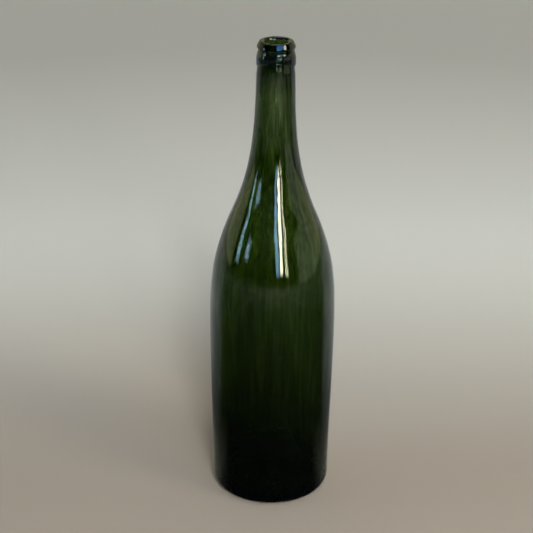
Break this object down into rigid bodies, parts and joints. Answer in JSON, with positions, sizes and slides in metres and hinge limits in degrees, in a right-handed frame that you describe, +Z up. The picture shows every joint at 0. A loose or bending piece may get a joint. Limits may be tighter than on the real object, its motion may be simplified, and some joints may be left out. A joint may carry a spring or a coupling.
{
  "type": "glass magnum bottle",
  "caption": "Tall hand-blown green glass bottle with sloping shoulders, a pushed-up base, a laid-on collar round the neck and an open rounded mouth, for keeping and pouring wine.",
  "frame": {"origin": "centre of the standing ring, on the plane that the bottle stands on", "axes": "+Z up the bottle's axis, from the base to the mouth; it is round, so +X and +Y are free"},
  "size_m": [0.105, 0.105, 0.397],
  "materials": {
    "body_glass": "old olive-green blown glass, fire-polished, with seeds and faint drawn streaks",
    "collar_glass": "thick blue-green laid-on glass, smoothed with a tool, nearly opaque",
    "lip_glass": "thick blue-green laid-on glass, fire-polished"
  },
  "bodies": {
    "root": {"bottle_body": "body_glass", "neck_collar": "collar_glass", "mouth_lip": "lip_glass"}
  },
  "joints": []
}
